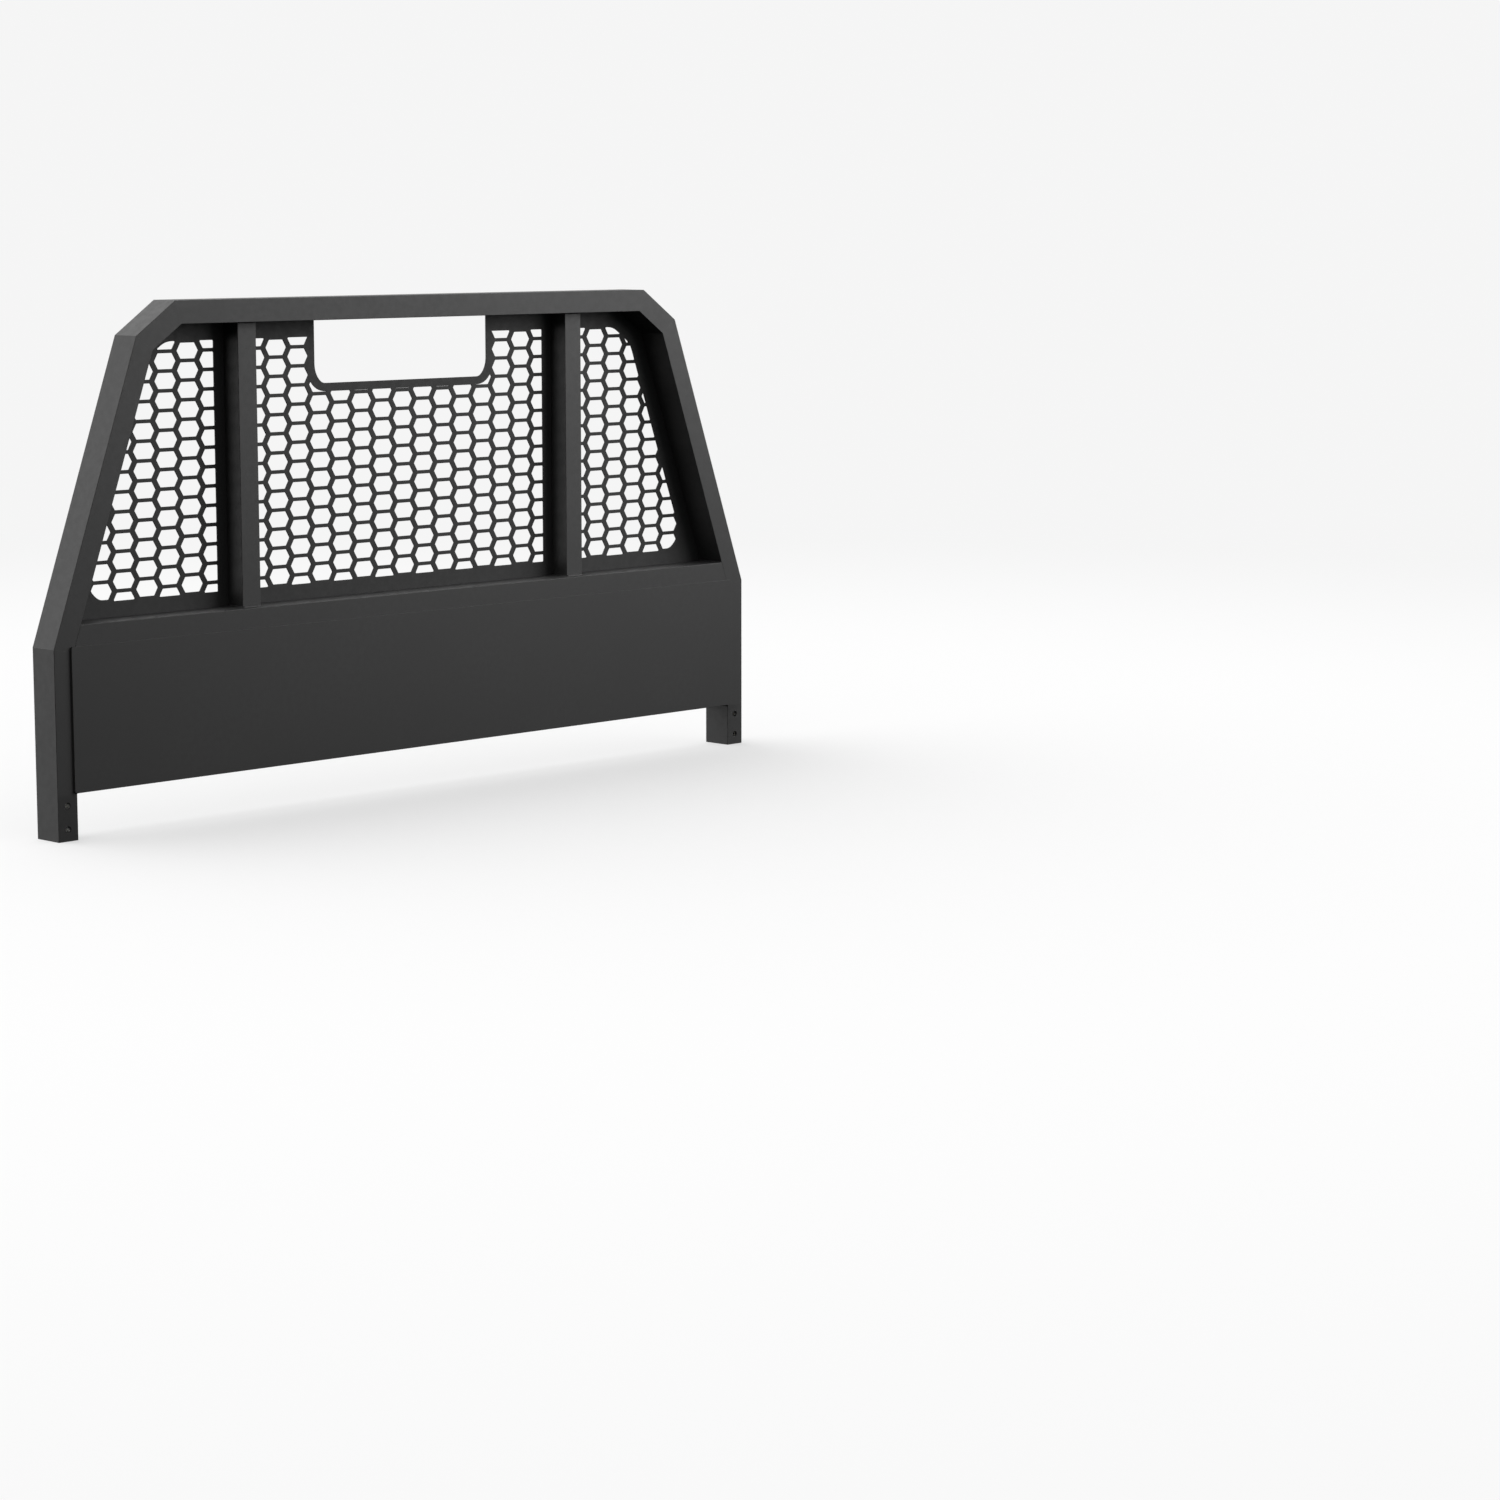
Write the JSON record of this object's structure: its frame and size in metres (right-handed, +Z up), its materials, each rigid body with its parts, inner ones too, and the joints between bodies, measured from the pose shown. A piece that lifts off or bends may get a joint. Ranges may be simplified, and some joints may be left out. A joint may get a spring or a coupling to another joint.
{
  "type": "headache rack",
  "caption": "Welded tube headache rack for a flatbed truck, with an elongated hexagon screen, a viewing window, two uprights and a solid lower plate.",
  "frame": {"origin": "midway across the rack, at the underside of its feet, midway through its overall depth", "axes": "+X runs across the truck to the right as seen from the load side, +Y points forwards to the cab, +Z is up"},
  "size_m": [2.082, 0.0888, 1.1355],
  "materials": {
    "powder_coat": "satin black powder coat on steel tube, with a faint orange-peel texture",
    "screen_coat": "satin black powder coat on laser-cut steel sheet",
    "panel_coat": "satin black powder coat on steel plate",
    "cap_plastic": "moulded black polyethylene",
    "plated_steel": "zinc-plated steel",
    "black_screws": "black oxide steel"
  },
  "bodies": {
    "root": {"post_left": "powder_coat", "post_right": "powder_coat", "slant_left": "powder_coat", "slant_right": "powder_coat", "corner_left": "powder_coat", "corner_right": "powder_coat", "top_beam": "powder_coat", "sill_rail": "powder_coat", "bottom_rail": "powder_coat", "upright_left": "powder_coat", "upright_right": "powder_coat", "lower_stud_left": "powder_coat", "lower_stud_center": "powder_coat", "lower_stud_right": "powder_coat", "screen": "screen_coat", "lower_panel": "panel_coat", "foot_cap_left": "cap_plastic", "foot_cap_right": "cap_plastic", "mount_sleeves": "plated_steel", "screen_rivet_nuts": "plated_steel", "screen_screws": "black_screws", "screen_washers": "black_screws"}
  },
  "joints": []
}
